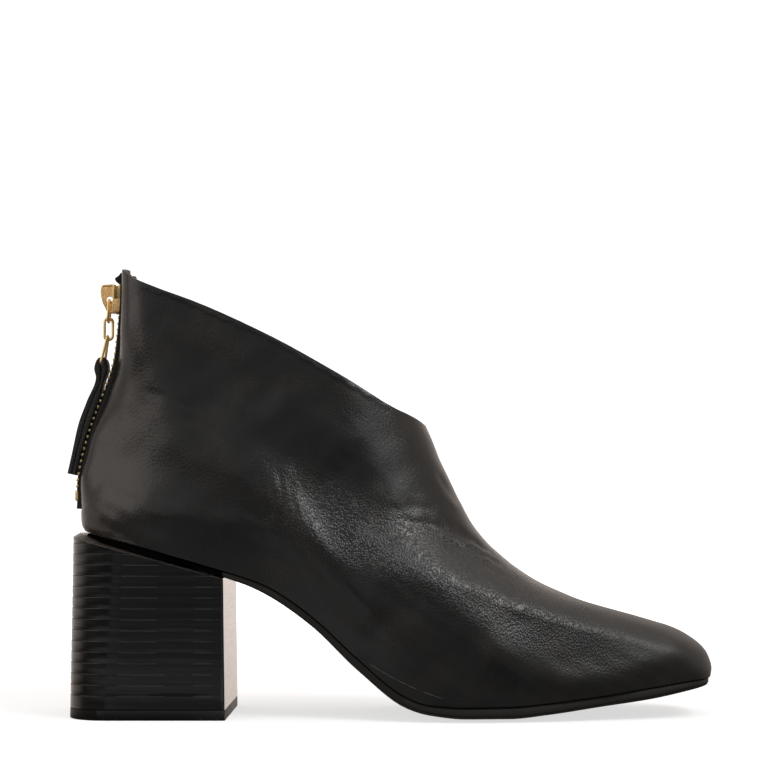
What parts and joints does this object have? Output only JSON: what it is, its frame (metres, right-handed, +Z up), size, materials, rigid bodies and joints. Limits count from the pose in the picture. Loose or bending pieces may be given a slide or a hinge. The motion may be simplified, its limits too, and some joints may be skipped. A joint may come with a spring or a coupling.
{
  "type": "ankle boot",
  "caption": "Right ankle bootie with a slanted collar, a stacked block heel, a thin sole and a zip up the back whose pull chain and leather tab swing.",
  "frame": {"origin": "on the floor, under the middle of the shoe's length and width", "axes": "+X from the heel to the toe, +Y from the outer to the inner side of the right foot, +Z up"},
  "size_m": [0.2444, 0.08, 0.168],
  "materials": {
    "black_leather": "smooth, fine grain, half gloss",
    "insole_leather": "matt",
    "black_resin": "satin",
    "black_lacquer": "gloss lacquer with stack lines",
    "black_rubber": "matt",
    "black_tape": "woven",
    "gold_metal": "polished gold"
  },
  "bodies": {
    "boot": {"upper": "black_leather", "insole": "insole_leather", "outsole": "black_resin", "heel_block": "black_lacquer", "heel_top_piece": "black_rubber", "zip_tape": "black_tape", "zip_teeth": "gold_metal", "zip_bottom_stop": "gold_metal", "zip_slider": "gold_metal"},
    "pull_chain": {"pull_link_1": "gold_metal", "pull_link_2": "gold_metal", "pull_link_3": "gold_metal"},
    "pull_strap": {"pull_tab": "black_leather"}
  },
  "joints": [
    {"name": "pull_swing", "type": "hinge", "parent": "boot", "child": "pull_chain", "pos_m": [-0.1077, 0, 0.1574], "axis": [0, 1, 0], "range_deg": [0, 130]},
    {"name": "tab_swing", "type": "hinge", "parent": "pull_chain", "child": "pull_strap", "pos_m": [-0.1101, 0, 0.1329], "axis": [0, 1, 0], "range_deg": [0, 60]}
  ]
}
